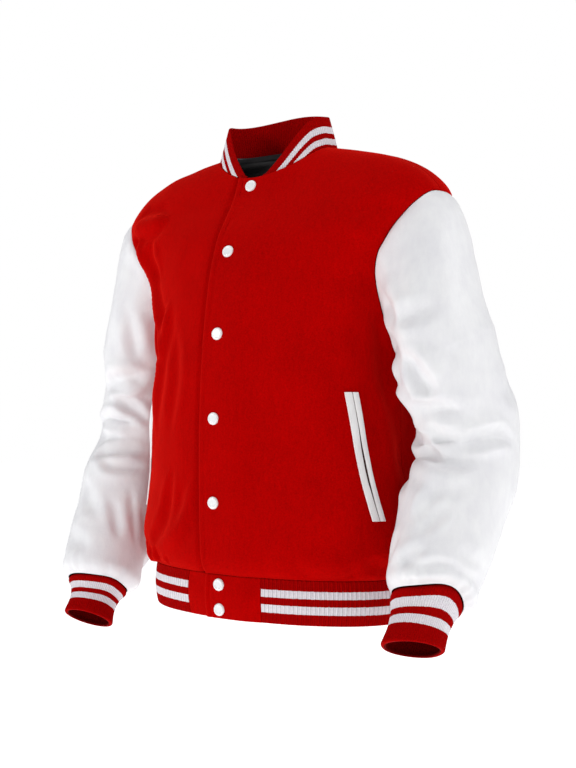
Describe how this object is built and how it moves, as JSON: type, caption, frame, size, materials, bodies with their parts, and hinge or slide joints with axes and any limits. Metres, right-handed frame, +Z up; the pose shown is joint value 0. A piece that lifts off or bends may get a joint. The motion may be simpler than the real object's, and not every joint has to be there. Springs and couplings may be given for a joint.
{
  "type": "varsity jacket",
  "caption": "Varsity jacket filled out as worn: red wool body, white leather sleeves, striped rib collar, cuffs and waistband, snap front and slanted welt pockets.",
  "frame": {"origin": "middle of the neck, level with the high points of the shoulders, where the wearer's shoulders carry the jacket", "axes": "+Z up, -Y out of the front, +X towards the wearer's left"},
  "size_m": [0.7327, 0.2911, 0.7565],
  "materials": {
    "wool_red": "dense brushed melton wool, matt, short nap",
    "rib_knit": "red rib knit with two white stripes",
    "leather_white": "soft white leather, fine grain, low gloss",
    "pocket_cloth": "dark red pocketing seen in the slit",
    "snap_white": "white enamelled snap caps",
    "lining_black": "black satin lining"
  },
  "bodies": {
    "root": {"left_front": "wool_red", "right_front": "wool_red", "back": "wool_red", "left_band_tab": "wool_red", "right_band_tab": "wool_red", "waistband_rib": "rib_knit", "collar": "rib_knit", "left_cuff": "rib_knit", "right_cuff": "rib_knit", "left_sleeve": "leather_white", "right_sleeve": "leather_white", "left_welt_front": "leather_white", "left_welt_rear": "leather_white", "right_welt_front": "leather_white", "right_welt_rear": "leather_white", "left_pocket_slit": "pocket_cloth", "right_pocket_slit": "pocket_cloth", "snap_1": "snap_white", "snap_2": "snap_white", "snap_3": "snap_white", "snap_4": "snap_white", "snap_5": "snap_white", "snap_6": "snap_white", "snap_7": "snap_white", "neck_lining": "lining_black"}
  },
  "joints": []
}
